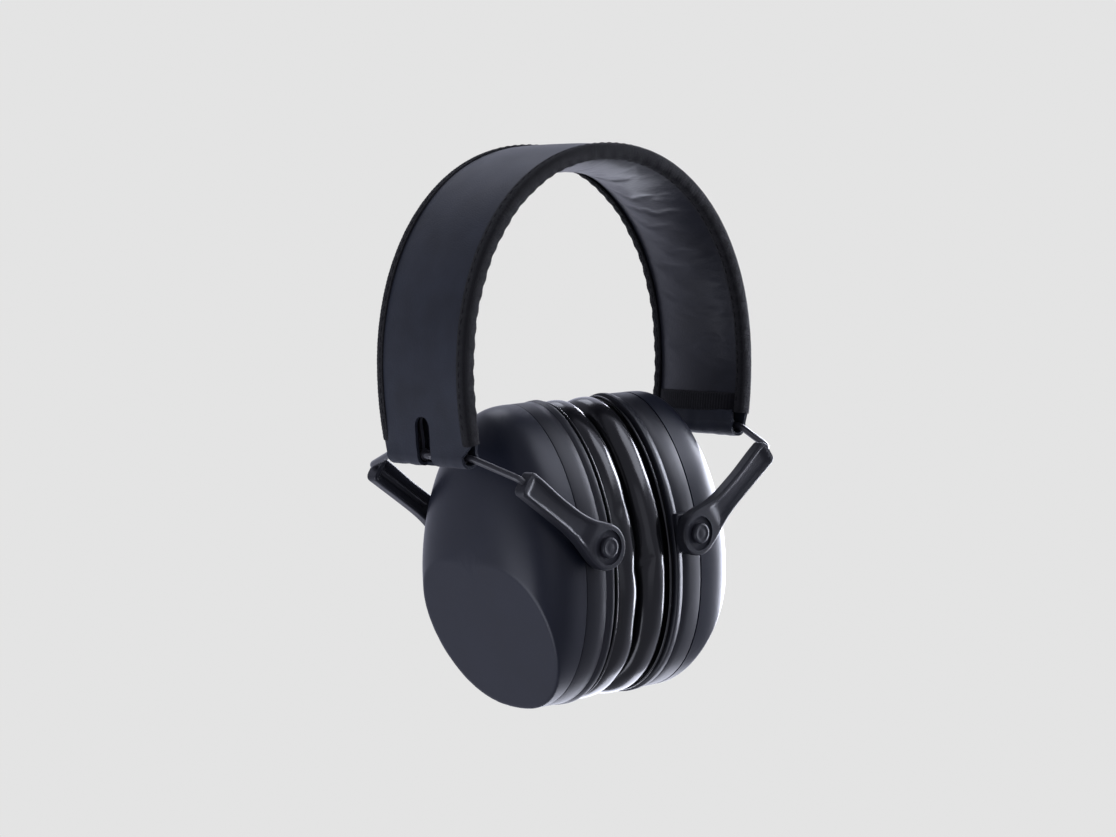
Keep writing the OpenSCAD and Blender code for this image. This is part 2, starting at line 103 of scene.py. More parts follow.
# ---- finishes ----
@dataclass(frozen=True)
class Finish:
    """One finish of the earmuff and the material that shows it.

    grain_mm is the size of its smallest mark and depth_mm how deep the marks are.
    """

    slot: str
    grain: Grain
    colour: tuple[float, float, float]
    rough: float
    grain_mm: float
    depth_mm: float
    sheen: float = 0.0
    coat: float = 0.0
    specular: float = 0.5
    mottle: float = 0.25
    wear: float = 0.0
    ribs: float = 0.0

    def material(self) -> bpy.types.Material:
        """Builds the material once and gives the same one back afterwards.

        Returns:
            The material, named after the record's slot.
        """
        found = bpy.data.materials.get("finish_" + self.slot)
        if found:
            return found
        mat = bpy.data.materials.new("finish_" + self.slot)
        mat.use_nodes = True
        tree = mat.node_tree
        shader = tree.nodes["Principled BSDF"]
        shader.inputs["Metallic"].default_value = 1.0 if self.grain is Grain.METAL else 0.0
        shader.inputs["Sheen Weight"].default_value = self.sheen
        shader.inputs["Sheen Roughness"].default_value = 0.45
        shader.inputs["Coat Weight"].default_value = self.coat
        shader.inputs["Coat Roughness"].default_value = 0.18
        shader.inputs["Specular IOR Level"].default_value = self.specular
        place = tree.nodes.new("ShaderNodeTexCoord")
        self._dress_colour(tree, shader, place)
        self._dress_roughness(tree, shader, place)
        self._dress_relief(tree, shader, place)
        return mat

    def _noise(self, tree: bpy.types.NodeTree, place: bpy.types.Node, size_mm: float, detail: float,
               stretch: tuple[float, float, float] = (1, 1, 1)) -> bpy.types.Node:
        """A noise node whose marks are about size_mm across.

        Args:
            tree: The material's nodes.
            place: The texture coordinate node.
            size_mm: Size of one mark.
            detail: Octaves of finer marks.
            stretch: Scale along each axis before the noise.

        Returns:
            The noise node.
        """
        turn = tree.nodes.new("ShaderNodeMapping")
        turn.inputs["Scale"].default_value = stretch
        tree.links.new(place.outputs["Object"], turn.inputs["Vector"])
        noise = tree.nodes.new("ShaderNodeTexNoise")
        noise.inputs["Scale"].default_value = 1 / (size_mm * MM)
        noise.inputs["Detail"].default_value = detail
        tree.links.new(turn.outputs["Vector"], noise.inputs["Vector"])
        return noise

    def _dress_colour(self, tree: bpy.types.NodeTree, shader: bpy.types.Node, place: bpy.types.Node) -> None:
        """Mottles the colour a little, and pales it along worn edges.

        Args:
            tree: The material's nodes.
            shader: The surface shader.
            place: The texture coordinate node.
        """
        noise = self._noise(tree, place, 14.0, 4.0)
        ramp = tree.nodes.new("ShaderNodeValToRGB")
        low = tuple(c * (1 - self.mottle) for c in self.colour)
        high = tuple(min(1.0, c * (1 + self.mottle)) for c in self.colour)
        for element, position, colour in zip(ramp.color_ramp.elements, (0.3, 0.7), (low, high)):
            element.position, element.color = position, (*colour, 1)
        tree.links.new(noise.outputs["Fac"], ramp.inputs["Fac"])
        result = ramp.outputs["Color"]
        if self.wear > 0:
            shape = tree.nodes.new("ShaderNodeNewGeometry")
            reach = tree.nodes.new("ShaderNodeMapRange")
            reach.inputs["From Min"].default_value = 0.52
            reach.inputs["From Max"].default_value = 0.62
            reach.inputs["To Max"].default_value = self.wear
            tree.links.new(shape.outputs["Pointiness"], reach.inputs["Value"])
            pale = tree.nodes.new("ShaderNodeMixRGB")
            pale.inputs["Color2"].default_value = (*(min(1.0, c * 2.5 + 0.01) for c in self.colour), 1)
            tree.links.new(reach.outputs["Result"], pale.inputs["Fac"])
            tree.links.new(result, pale.inputs["Color1"])
            result = pale.outputs["Color"]
        tree.links.new(result, shader.inputs["Base Color"])

    def _dress_roughness(self, tree: bpy.types.NodeTree, shader: bpy.types.Node,
                         place: bpy.types.Node) -> None:
        """Varies the gloss in soft patches, as handling does.

        Args:
            tree: The material's nodes.
            shader: The surface shader.
            place: The texture coordinate node.
        """
        noise = self._noise(tree, place, 9.0, 5.0)
        reach = tree.nodes.new("ShaderNodeMapRange")
        reach.inputs["To Min"].default_value = max(0.02, self.rough - 0.06)
        reach.inputs["To Max"].default_value = min(1.0, self.rough + 0.06)
        tree.links.new(noise.outputs["Fac"], reach.inputs["Value"])
        tree.links.new(reach.outputs["Result"], shader.inputs["Roughness"])

    def _dress_relief(self, tree: bpy.types.NodeTree, shader: bpy.types.Node, place: bpy.types.Node) -> None:
        """Adds the grain, weave or cells as bump.

        Args:
            tree: The material's nodes.
            shader: The surface shader.
            place: The texture coordinate node.
        """
        bump = tree.nodes.new("ShaderNodeBump")
        bump.inputs["Distance"].default_value = self.depth_mm * MM
        bump.inputs["Strength"].default_value = 1.0
        tree.links.new(bump.outputs["Normal"], shader.inputs["Normal"])
        if self.grain in (Grain.PEBBLE, Grain.FOAM):
            cells = tree.nodes.new("ShaderNodeTexVoronoi")
            cells.feature = "F1"
            cells.inputs["Scale"].default_value = 1 / (self.grain_mm * MM)
            fine = self._noise(tree, place, self.grain_mm * 0.6, 3.0)
            bend = tree.nodes.new("ShaderNodeVectorMath")
            bend.operation = "MULTIPLY_ADD"
            bend.inputs[1].default_value = (0.4 * self.grain_mm * MM,) * 3
            tree.links.new(fine.outputs["Color"], bend.inputs[0])
            tree.links.new(place.outputs["Object"], bend.inputs[2])
            tree.links.new(bend.outputs["Vector"], cells.inputs["Vector"])
            tree.links.new(cells.outputs["Distance"], bump.inputs["Height"])
            bump.invert = self.grain is Grain.PEBBLE
            return
        if self.grain is Grain.RIB:
            wave = tree.nodes.new("ShaderNodeTexWave")
            wave.bands_direction = "X"
            wave.inputs["Scale"].default_value = math.tau * self.ribs / 20
            wave.inputs["Distortion"].default_value = 0.6
            wave.inputs["Detail Scale"].default_value = 3.0
            tree.links.new(place.outputs["UV"], wave.inputs["Vector"])
            yarn = self._noise(tree, place, self.grain_mm, 3.0)
            blend = tree.nodes.new("ShaderNodeMixRGB")
            blend.inputs["Fac"].default_value = 0.35
            tree.links.new(wave.outputs["Color"], blend.inputs["Color1"])
            tree.links.new(yarn.outputs["Fac"], blend.inputs["Color2"])
            tree.links.new(blend.outputs["Color"], bump.inputs["Height"])
            return
        stretch = (1, 0.06, 1) if self.grain is Grain.METAL else (1, 1, 1)
        noise = self._noise(tree, place, self.grain_mm, 4.0, stretch)
        tree.links.new(noise.outputs["Fac"], bump.inputs["Height"])


FINISHES = {f.slot: f for f in (
    Finish("outer_leatherette", Grain.PEBBLE, (0.018, 0.022, 0.034), 0.58, 0.55, 0.05,
           specular=0.42, sheen=0.03),
    Finish("inner_leatherette", Grain.PEBBLE, (0.016, 0.017, 0.025), 0.42, 0.7, 0.04, specular=0.5,
           coat=0.08),
    Finish("binding_tape", Grain.RIB, (0.008, 0.0075, 0.010), 0.85, 0.25, 0.12, sheen=0.12,
           specular=0.3, ribs=190),
    Finish("spring_steel", Grain.METAL, (0.40, 0.40, 0.42), 0.34, 0.15, 0.01),
    Finish("band_foam", Grain.FOAM, (0.10, 0.10, 0.11), 0.9, 0.5, 0.1),
    Finish("wire_steel", Grain.SATIN, (0.030, 0.030, 0.036), 0.34, 0.2, 0.01, coat=0.3, specular=0.7),
    Finish("arm_plastic", Grain.SATIN, (0.017, 0.018, 0.024), 0.42, 0.25, 0.02, wear=0.25),
    Finish("pin_plastic", Grain.SATIN, (0.020, 0.021, 0.027), 0.36, 0.25, 0.012, wear=0.2),
    Finish("cup_plastic", Grain.SATIN, (0.010, 0.0125, 0.0235), 0.38, 0.22, 0.010, specular=0.5, mottle=0.1),
    Finish("rim_plastic", Grain.SATIN, (0.015, 0.016, 0.022), 0.40, 0.22, 0.012, wear=0.15, mottle=0.1),
    Finish("plate_plastic", Grain.SATIN, (0.004, 0.004, 0.005), 0.5, 0.3, 0.02),
    Finish("cushion_skin", Grain.FILM, (0.006, 0.006, 0.0075), 0.20, 0.9, 0.02, coat=0.5, specular=0.6),
    Finish("cushion_foam", Grain.FOAM, (0.22, 0.22, 0.23), 0.9, 0.5, 0.1),
    Finish("sound_foam", Grain.FOAM, (0.05, 0.05, 0.056), 0.95, 0.9, 0.35, sheen=0.1),
)}


# ---- mesh tools ----
def deselect() -> None:
    """Leaves object mode with nothing selected."""
    if bpy.context.mode != "OBJECT":
        bpy.ops.object.mode_set(mode="OBJECT")
    bpy.ops.object.select_all(action="DESELECT")


def pick(obj: bpy.types.Object) -> None:
    """Leaves only this piece selected and active."""
    deselect()
    bpy.context.view_layer.objects.active = obj
    obj.select_set(True)


def coords(obj: bpy.types.Object) -> np.ndarray:
    """The object's vertices as rows of x, y, z in metres."""
    flat = np.zeros(len(obj.data.vertices) * 3)
    obj.data.vertices.foreach_get("co", flat)
    return flat.reshape(-1, 3)


def put_coords(obj: bpy.types.Object, points: np.ndarray) -> None:
    """Moves the object's vertices to points, in metres."""
    obj.data.vertices.foreach_set("co", np.ascontiguousarray(points, dtype=np.float64).ravel())
    obj.data.update()


def tidy_mesh(obj: bpy.types.Object, fill: bool = False) -> None:
    """Merges doubles, closes open ends if asked, and turns the faces outward.

    Args:
        obj: The piece to clean.
        fill: Whether to close its open ends.
    """
    pick(obj)
    bpy.ops.object.mode_set(mode="EDIT")
    bpy.ops.mesh.select_all(action="SELECT")
    bpy.ops.mesh.remove_doubles(threshold=2e-6)
    bpy.ops.mesh.dissolve_degenerate(threshold=1e-7)
    if fill:
        bpy.ops.mesh.select_all(action="SELECT")
        bpy.ops.mesh.fill_holes(sides=0)
    bpy.ops.mesh.select_all(action="SELECT")
    bpy.ops.mesh.normals_make_consistent(inside=False)
    bpy.ops.object.mode_set(mode="OBJECT")


def wrap_grid(name: str, around: int, along: int, place: Place, fill: bool = False,
              tidy: bool = True) -> bpy.types.Object:
    """Adds a flat grid and lays it on a surface.

    Args:
        name: The piece's name.
        around: Faces in the first direction.
        along: Faces in the second direction.
        place: Gives points in millimetres for two arrays that run from 0 to 1.
        fill: Whether to close open ends.
        tidy: Whether to merge doubles and turn the faces outward.

    Returns:
        The new mesh object.
    """
    deselect()
    bpy.ops.mesh.primitive_grid_add(x_subdivisions=around, y_subdivisions=along, size=2)
    obj = bpy.context.object
    obj.name = obj.data.name = name
    flat = coords(obj)
    put_coords(obj, place((flat[:, 0] + 1) / 2, (flat[:, 1] + 1) / 2) * MM)
    if tidy:
        tidy_mesh(obj, fill)
    return obj


def finish_with(obj: bpy.types.Object, kind: str, **settings: object) -> None:
    """Adds a modifier with these settings and applies it.

    Args:
        obj: The piece.
        kind: The modifier's type.
        settings: Its settings by name.
    """
    pick(obj)
    modifier = obj.modifiers.new(kind.lower(), kind)
    for name, value in settings.items():
        setattr(modifier, name, value)
    bpy.ops.object.modifier_apply(modifier=modifier.name)


def cut(obj: bpy.types.Object, cutter: bpy.types.Object, operation: str = "DIFFERENCE") -> None:
    """Takes the cutter out of the piece, or joins it, and removes the cutter.

    Args:
        obj: The piece.
        cutter: The closed mesh that cuts it.
        operation: DIFFERENCE or UNION.
    """
    finish_with(obj, "BOOLEAN", operation=operation, solver="EXACT", object=cutter)
    bpy.data.objects.remove(cutter)


def smooth(obj: bpy.types.Object, angle: float = 35.0) -> None:
    """Shades the piece smooth where its faces meet below angle, in degrees."""
    pick(obj)
    bpy.ops.object.shade_smooth_by_angle(angle=math.radians(angle))


def rod_y(radius: float, y0: float, y1: float, x: float, z: float, sides: int = 48) -> bpy.types.Object:
    """A closed cylinder along Y, for cutting, with its sizes in millimetres.

    Args:
        radius: Its radius.
        y0: One end.
        y1: The other end.
        x: Its middle.
        z: Its middle.
        sides: Faces round it.

    Returns:
        The cylinder.
    """
    def place(u: np.ndarray, v: np.ndarray) -> np.ndarray:
        """Rolls the grid round the cylinder."""
        turn = u * math.tau
        return np.stack([x + radius * np.cos(turn), y0 + (y1 - y0) * v, z + radius * np.sin(turn)], 1)

    return wrap_grid("cutter", sides, 1, place, fill=True)


def sweep(name: str, path: np.ndarray, radius: float, sides: int = 20,
          closed: bool = False) -> bpy.types.Object:
    """A round rod along a path.

    Args:
        name: The piece's name.
        path: Points in millimetres, evenly spread.
        radius: The rod's radius in millimetres.
        sides: Faces round the rod.
        closed: Whether the path is a loop.

    Returns:
        The rod.
    """
    count = len(path)
    if closed:
        tangent = np.roll(path, -1, 0) - np.roll(path, 1, 0)
    else:
        tangent = np.gradient(path, axis=0)
    tangent /= np.linalg.norm(tangent, axis=1)[:, None]
    frame = np.zeros_like(path)
    start = np.cross(tangent[0], [0.3, 0.2, 0.9])
    frame[0] = start / np.linalg.norm(start)
    for i in range(1, count):
        step = frame[i - 1] - tangent[i] * (frame[i - 1] @ tangent[i])
        frame[i] = step / np.linalg.norm(step)
    other = np.cross(tangent, frame)

    def place(u: np.ndarray, v: np.ndarray) -> np.ndarray:
        """Rolls the grid round the path."""
        last = count if closed else count - 1
        i = np.rint(v * last).astype(int) % count
        turn = u * math.tau
        if closed:
            shift = math.atan2(float(frame[-1] @ other[0]), float(frame[-1] @ frame[0]))
            turn = turn - shift * (i / count)
        return path[i] + radius * (np.cos(turn)[:, None] * frame[i] + np.sin(turn)[:, None] * other[i])

    obj = wrap_grid(name, sides, count if closed else count - 1, place, fill=not closed)
    smooth(obj, 60)
    return obj


def round_path(corners: Sequence[Sequence[float]], bend: float, step: float) -> np.ndarray:
    """Rounds the corners of a path and spreads points along it.

    Args:
        corners: The corner points in millimetres.
        bend: Radius of the bends.
        step: Distance between points.

    Returns:
        The points.
    """
    pts = np.array(corners, float)
    out = [pts[0]]
    for i in range(1, len(pts) - 1):
        a, b, c = pts[i - 1], pts[i], pts[i + 1]
        ab, bc = a - b, c - b
        back = min(bend, np.linalg.norm(ab) * 0.45, np.linalg.norm(bc) * 0.45)
        p, q = b + ab / np.linalg.norm(ab) * back, b + bc / np.linalg.norm(bc) * back
        for t in np.linspace(0, 1, 9):
            out.append((1 - t) ** 2 * p + 2 * t * (1 - t) * b + t * t * q)
    out.append(pts[-1])
    line = np.array(out)
    length = np.concatenate([[0], np.cumsum(np.linalg.norm(np.diff(line, axis=0), axis=1))])
    spread = np.linspace(0, length[-1], max(3, int(length[-1] / step)))
    return np.stack([np.interp(spread, length, line[:, k]) for k in range(3)], 1)


def smoothstep(a: float, b: float, x: np.ndarray) -> np.ndarray:
    """Rises from 0 at a to 1 at b without corners."""
    t = np.clip((x - a) / (b - a), 0, 1)
    return t * t * (3 - 2 * t)


def ripple(points: np.ndarray, size: float, seed: int) -> np.ndarray:
    """Smooth, repeatable unevenness between about -1 and 1.

    Args:
        points: Points in millimetres.
        size: Distance over which it changes, in millimetres.
        seed: Picks the pattern.

    Returns:
        One value a point.
    """
    draw = np.random.default_rng(seed)
    total = np.zeros(len(points))
    for _ in range(7):
        way = draw.normal(size=3)
        way /= np.linalg.norm(way)
        total += np.sin(points @ way * math.tau / (size * draw.uniform(0.7, 1.5)) + draw.uniform(0, math.tau))
    return total / 3.5


def dress(obj: bpy.types.Object, slot: str, body: str, *nodes: str) -> None:
    """Gives a finished piece the material of its slot, hangs it on its body and hides the CAD nodes that it
    stands for.

    Args:
        obj: The piece.
        slot: The record's material slot.
        body: The CAD body that it rides on.
        nodes: The CAD nodes that it replaces.
    """
    obj.data.materials.clear()
    obj.data.materials.append(FINISHES[slot].material())
    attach(obj, body)
    if nodes:
        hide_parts(*nodes)
    LOG.info("built %s on %s, %d faces", obj.name, body, len(obj.data.polygons))


def inflate(obj: bpy.types.Object, held: np.ndarray, pressure: float, cap: float, slack: float) -> None:
    """Puffs a padded piece by cloth simulation and keeps the result in its mesh.

    The piece is simulated at four times its size, where the solver behaves well.

    Args:
        obj: The piece.
        held: Share of hold for each vertex, from 0 to 1.
        pressure: The air pressure inside.
        cap: The furthest that a point may move, in millimetres.
        slack: Extra cloth, as a share of its length.
    """
    grow = 4.0
    start = coords(obj)
    put_coords(obj, start * grow)
    group = obj.vertex_groups.new(name="held")
    for share in (1.0, 0.6, 0.3):
        picked = np.nonzero(np.abs(held - share) < 0.01)[0].tolist()
        if picked:
            group.add(picked, share, "REPLACE")
    modifier = obj.modifiers.new("cloth", "CLOTH")
    cloth = modifier.settings
    cloth.quality = 6
    cloth.mass = 0.25
    cloth.tension_stiffness = cloth.compression_stiffness = 14
    cloth.shear_stiffness = 6
    cloth.bending_stiffness = 0.6
    cloth.air_damping = 2.0
    cloth.use_pressure = True
    cloth.uniform_pressure_force = pressure
    cloth.shrink_min = -slack
    cloth.vertex_group_mass = "held"
    cloth.effector_weights.gravity = 0
    modifier.collision_settings.use_collision = False
    modifier.collision_settings.use_self_collision = False
    scene = bpy.context.scene
    for step in range(1, 21):
        scene.frame_set(step)
    shown = obj.evaluated_get(bpy.context.evaluated_depsgraph_get())
    flat = np.zeros(len(obj.data.vertices) * 3)
    shown.data.vertices.foreach_get("co", flat)
    moved = flat.reshape(-1, 3) / grow
    obj.modifiers.clear()
    obj.vertex_groups.clear()
    scene.frame_set(1)
    shift = moved - start
    far = np.linalg.norm(shift, axis=1)
    LOG.info("%s swelled by up to %.2f mm", obj.name, far.max() / MM)
    shift *= np.minimum(1, cap * MM / np.maximum(far, 1e-9))[:, None]
    put_coords(obj, start + shift)


# ---- headband ----
@dataclass
class Arch:
    """The line of the band's outside, from the end on +X over the crown to the end on -X."""

    half_width: float = 62.8
    tuck: float = 1.8
    wide_z: float = -62.0
    end_z: float = -82.0
    top_z: float = 8.0
    power: float = 2.1
    crown_thick: float = 8.0
    end_thick: float = 5.5
    edge_thick: float = 3.4
    line: np.ndarray = field(init=False)
    lean: np.ndarray = field(init=False)
    length: float = field(init=False)

    def __post_init__(self) -> None:
        """Spreads points evenly along the line and finds the way in at each."""
        k = np.linspace(1, 0, 120, endpoint=False)
        side = np.stack([self.half_width - self.tuck * k**2,
                         self.end_z + (self.wide_z - self.end_z) * (1 - k)], 1)
        a = np.linspace(0, math.pi, 1400)
        c, s = np.cos(a), np.clip(np.sin(a), 0, 1)
        top = np.stack([self.half_width * np.sign(c) * np.abs(c) ** (2 / self.power),
                        self.wide_z + (self.top_z - self.wide_z) * s ** (2 / self.power)], 1)
        raw = np.concatenate([side, top, (side * [-1, 1])[::-1]])
        run = np.concatenate([[0], np.cumsum(np.linalg.norm(np.diff(raw, axis=0), axis=1))])
        self.length = float(run[-1])
        even = np.linspace(0, self.length, 2001)
        self.line = np.stack([np.interp(even, run, raw[:, i]) for i in range(2)], 1)
        way = np.gradient(self.line, axis=0)
        way /= np.linalg.norm(way, axis=1)[:, None]
        self.lean = np.stack([-way[:, 1], way[:, 0]], 1)

    def at(self, s: np.ndarray) -> tuple[np.ndarray, np.ndarray, np.ndarray]:
        """Where the line is.

        Args:
            s: Share of the way along, from 0 to 1.

        Returns:
            Points, the way in at each, and the band's thickness there.
        """
        i = np.clip(s, 0, 1) * (len(self.line) - 1)
        steps = np.arange(len(self.line))
        spot = np.stack([np.interp(i, steps, self.line[:, k]) for k in range(2)], 1)
        lean = np.stack([np.interp(i, steps, self.lean[:, k]) for k in range(2)], 1)
        lean /= np.linalg.norm(lean, axis=1)[:, None]
        share = np.minimum(1, np.abs(spot[:, 0]) / self.half_width) ** 2
        return spot, lean, self.crown_thick + (self.end_thick - self.crown_thick) * share

    def lay(self, s: np.ndarray, y: np.ndarray, depth: np.ndarray) -> np.ndarray:
        """Points at a share along the line, a place across it and a depth in from it."""
        spot, lean, _ = self.at(s)
        return np.stack([spot[:, 0] + lean[:, 0] * depth, y, spot[:, 1] + lean[:, 1] * depth], 1)


@dataclass
class Headband:
    """The sewn, padded sleeve with its hems, bindings and end tapes."""

    arch: Arch = field(default_factory=Arch)
    band_half: float = 21.0
    cover_half: float = 20.4
    pad_half: float = 17.6
    hem_half: float = 17.75
    hem_radius: float = 3.45
    hinge_x: float = 59.0
    hinge_z: float = -85.9
    slot_half: float = 3.3
    slot_top: float = -73.6
    bulge: float = 0.9
    skin: float = 1.0

    def build(self) -> None:
        """Builds every piece of the headband."""
        self._sleeve()
        self._pad()
        for word, sign in (("front", -1), ("rear", 1)):
            self._binding(word, sign)
            self._stitches(word, sign)
        for side in Side:
            self._tape(side)

    def _hem_line(self) -> np.ndarray:
        """The outside of the +X hem as x, z, from the head side round the bottom to the outside."""
        turn = np.radians(np.linspace(152, 368, 40))
        ring = np.stack([self.hinge_x + self.hem_radius * np.cos(turn),
                         self.hinge_z + self.hem_radius * np.sin(turn)], 1)
        top = np.array([[self.arch.half_width - self.arch.tuck - 5.4, self.arch.end_z + 1.5]])
        return np.concatenate([top, ring])

    def _sleeve(self) -> None:
        """The outer cover, which runs on round both wires as the hems."""
        hem = self._hem_line()
        s = np.linspace(0.0, 1.0, 420)
        spot, lean, _ = self.arch.at(s)
        profile = np.concatenate([hem, spot, (hem * [-1, 1])[::-1]])
        inward = np.concatenate([
            unit_rows(np.array([self.hinge_x, self.hinge_z]) - hem), lean,
            unit_rows(np.array([-self.hinge_x, self.hinge_z]) - (hem * [-1, 1])[::-1])])
        count = len(profile)
        on_hem = np.zeros(count)
        on_hem[:len(hem)] = on_hem[-len(hem):] = 1
        across = 26

        def place(u: np.ndarray, v: np.ndarray) -> np.ndarray:
            """Lays the cover on the band with a slight crown across it."""
            i = np.rint(v * (count - 1)).astype(int)
            half = np.where(on_hem[i] > 0, self.hem_half, self.cover_half)
            w = u * 2 - 1
            crown = self.bulge * (1 - np.abs(w) ** 2.2) * (1 - on_hem[i])
            base = np.stack([profile[i, 0], w * half, profile[i, 1]], 1)
            flare = np.clip((self.arch.end_z + 10 - base[:, 2]) / 10, 0, 1) ** 2 * (1 - np.abs(w) ** 6)
            crown = crown + 0.9 * flare * (1 - on_hem[i])
            wave = 0.16 * ripple(base, 7.0, 3) * on_hem[i] + 0.10 * ripple(base, 30.0, 5)
            base[:, 0] -= inward[i, 0] * (crown + wave)
            base[:, 2] -= inward[i, 1] * (crown + wave)
            base[:, 1] += on_hem[i] * 0.25 * ripple(base, 6.0, 9)
            return base

        cover = wrap_grid("outer_sleeve", across, count - 1, place, tidy=False)
        face_away(cover, np.array([0, 0, -50.0]))
        finish_with(cover, "SOLIDIFY", thickness=self.skin * MM, offset=-1.0)
        for side in Side:
            cut(cover, self._slot_cutter(side))
        smooth(cover, 40)
        dress(cover, "outer_leatherette", "headband", "outer_cover", "left_hem", "right_hem")

    def _slot_cutter(self, side: Side) -> bpy.types.Object:
        """The round-topped slab that cuts the slot in one end of the sleeve."""
        turn = np.linspace(0, math.pi, 15)
        top = np.stack([self.slot_half * np.cos(turn),
                        self.slot_top - self.slot_half * (1 - np.sin(turn))], 1)
        outline = np.concatenate([[[self.slot_half, -96.0]], top, [[-self.slot_half, -96.0]]])
        low, high = self.hinge_x - 0.5, self.hinge_x + 9
        return prism("cutter", outline, low * side.value, high * side.value, axis=0)

    def _pad(self) -> None:
        """The soft head side of the band, puffed by simulation between its two seams."""
        thick_to_edge = self.arch.edge_thick

        def place(u: np.ndarray, v: np.ndarray) -> np.ndarray:
            """Lays the pad's skin on the head side."""
            y = (u * 2 - 1) * (self.pad_half + 1.2)
            _, _, thick = self.arch.at(v)
            share = np.clip(1 - np.abs(y / self.pad_half), 0, 1)
            rise = 1 - (1 - share) ** 2.5
            depth = thick_to_edge + (thick - thick_to_edge) * rise - 0.25
            base = self.arch.lay(v, y, depth)
            soft = 0.3 * ripple(base, 26.0, 12) + 0.05 * ripple(base, 9.0, 13)
            return self.arch.lay(v, y, depth + soft * share**0.6)

        pad = wrap_grid("inner_pad", 26, 260, place, tidy=False)
        face_away(pad, np.array([0, 0, -50.0]), flip=True)
        points = coords(pad) / MM
        held = (np.abs(points[:, 1]) > self.pad_half - 0.4).astype(float)
        held[(points[:, 2] < self.arch.end_z + 6.5)] = 1.0
        inflate(pad, held, pressure=5.0, cap=0.7, slack=0.003)
        finish_with(pad, "SUBSURF", levels=1, render_levels=1)
        finish_with(pad, "SOLIDIFY", thickness=0.9 * MM, offset=-1.0)
        smooth(pad, 60)
        dress(pad, "inner_leatherette", "headband", "inner_cover", "band_foam")

    def _binding(self, word: str, sign: int) -> None:
        """One ribbed tape, folded round both covers along an edge.

        Args:
            word: Front or rear.
            sign: The sign of its Y.
        """
        lap = self.band_half - 3.5
        fold = np.array([
            [lap, -0.35], [lap + 0.15, -0.72], [lap + 1.4, -0.78], [lap + 2.6, -0.62],
            [self.band_half - 0.25, -0.2],
            [self.band_half, 0.6], [self.band_half + 0.1, 1.7], [self.band_half, 2.9],
            [self.band_half - 0.3, 3.75], [lap + 2.6, 4.15], [lap + 1.4, 4.3],
            [lap + 0.45, 4.2], [lap + 0.3, 3.7],
        ])
        pitch, count = 1.3, 1150

        def place(u: np.ndarray, v: np.ndarray) -> np.ndarray:
            """Lays the folded tape along the edge, with its ribs and puckers."""
            i = u * (len(fold) - 1)
            y = np.interp(i, np.arange(len(fold)), fold[:, 0])
            depth = np.interp(i, np.arange(len(fold)), fold[:, 1])
            run = v * self.arch.length
            rib = 0.11 * np.abs(np.sin(math.pi * run / pitch + 0.5 * np.sin(run / 9)))
            pucker = 0.16 * np.sin(math.tau * run / 5.2 + 1.3 * np.sin(run / 21 + sign))
            pucker = pucker + 0.08 * np.sin(run / 3.1)
            middle = np.array([lap + 1.6, 1.75])
            out = unit_rows(np.stack([y - middle[0], (depth - middle[1]) * 1.6], 1))
            head_side = 0.1 + 0.9 * smoothstep(1.5, 3.5, depth)
            swell = 0.7 * rib + pucker * np.clip((y - lap) / 3.5, 0, 1) * head_side
            swell = swell * smoothstep(0, 0.004, np.minimum(v, 1 - v))
            y, depth = y + out[:, 0] * swell, depth + out[:, 1] * swell
            return self.arch.lay(v, sign * y, depth)

        tape = wrap_grid(f"{word}_edge_binding", 24, count, place, tidy=False)
        face_away(tape, np.array([0, 0, -30.0]), edge=sign)
        finish_with(tape, "SOLIDIFY", thickness=0.55 * MM, offset=-1.0)
        smooth(tape, 50)
        dress(tape, "binding_tape", "headband", f"{word}_binding")

    def _stitches(self, word: str, sign: int) -> None:
        """The row of stitches that holds one binding, on both faces.

        Args:
            word: Front or rear.
            sign: The sign of its Y.
        """
        pitch = 3.2
        count = int(self.arch.length / pitch) - 2
        deselect()
        bpy.ops.mesh.primitive_uv_sphere_add(segments=8, ring_count=5, radius=1.0)
        obj = bpy.context.object
        obj.name = obj.data.name = f"{word}_stitching"
        bpy.ops.mesh.uv_texture_remove()
        shape = coords(obj)
        finish_with(obj, "ARRAY", count=2 * count)
        y = np.array([sign * (self.band_half - 2.3)])
        points = []
        for depth in (-0.80, 4.30):
            for k in range(count):
                s = np.array([(k + 1.5) * pitch / self.arch.length])
                middle = self.arch.lay(s, y, np.array([depth]))[0]
                lean = self.arch.at(s)[1][0]
                into, along = np.array([lean[0], 0, lean[1]]), np.array([-lean[1], 0, lean[0]])
                points.append(middle + shape[:, :1] * along * 1.05 + shape[:, 1:2] * np.array([0, 0.24, 0])
                              + shape[:, 2:] * into * 0.2)
        put_coords(obj, np.concatenate(points) * MM)
        tidy_mesh(obj)
        smooth(obj, 180)
        dress(obj, "binding_tape", "headband")

    def _tape(self, side: Side) -> None:
        """The short woven tape across the head side of one end."""
        end = 6.6 / self.arch.length

        def place(u: np.ndarray, v: np.ndarray) -> np.ndarray:
            """Lays the tape across the pad, rounded at its edges."""
            y = (u * 2 - 1) * (self.pad_half - 0.2)
            s = end * v if side is Side.RIGHT else 1 - end * v
            rise = 1 - np.abs(y / self.pad_half) ** 2.5
            roll = 0.75 * np.sqrt(np.clip(1 - np.abs(v * 2 - 1) ** 6, 0, 1)) * (1 - np.abs(u * 2 - 1) ** 14)
            depth = self.arch.edge_thick + 2.1 * rise + roll + 0.15
            base = self.arch.lay(s, y, depth)
            return self.arch.lay(s, y, depth + 0.03 * ripple(base, 9, 31) + 0.05 * np.sin(y * math.tau / 1.1))

        tape = wrap_grid(f"{side.word}_end_tape", 150, 16, place, tidy=False)
        face_away(tape, np.array([0, 0, -50.0]), flip=True)
        finish_with(tape, "SOLIDIFY", thickness=0.8 * MM, offset=-1.0)
        smooth(tape, 50)
        dress(tape, "binding_tape", "headband", f"{side.word}_hem_tape")


